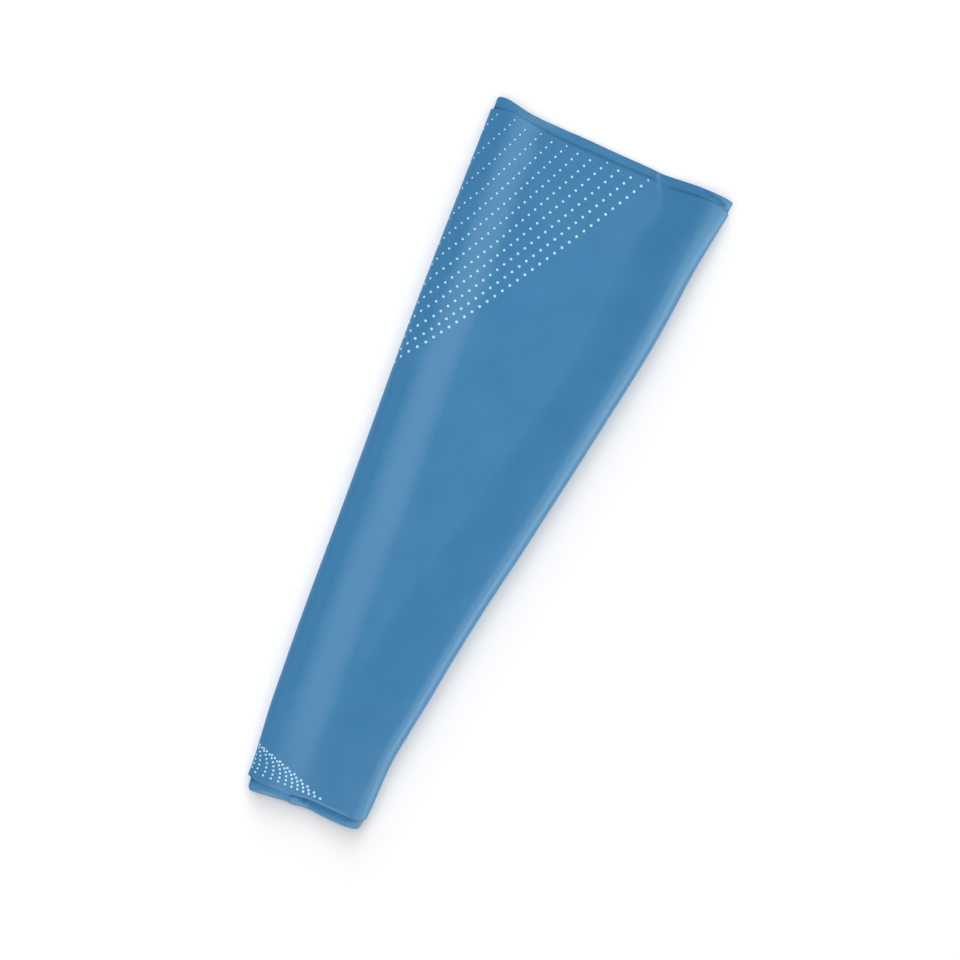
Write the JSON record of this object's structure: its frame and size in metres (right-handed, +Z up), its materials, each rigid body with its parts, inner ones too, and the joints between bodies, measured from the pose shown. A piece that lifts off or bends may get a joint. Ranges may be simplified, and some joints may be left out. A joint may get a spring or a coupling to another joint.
{
  "type": "cooling gel sleeve",
  "caption": "Tapered tube of gel-lined stretch cloth for the lower leg, open at both ends and laid flat, with small printed dots near its rims.",
  "frame": {"origin": "middle of the box around the sleeve, on the surface that it lies on", "axes": "+Y along the sleeve from the ankle end to the calf end, +X to the right seen from above, +Z up"},
  "size_m": [0.1481, 0.4195, 0.0208],
  "materials": {
    "gel_cloth": "smooth fine-knit stretch cloth over soft gel, with a faint sheen",
    "print": "matt white printed dots, slightly raised"
  },
  "bodies": {
    "root": {"sleeve": "gel_cloth"}
  },
  "joints": []
}
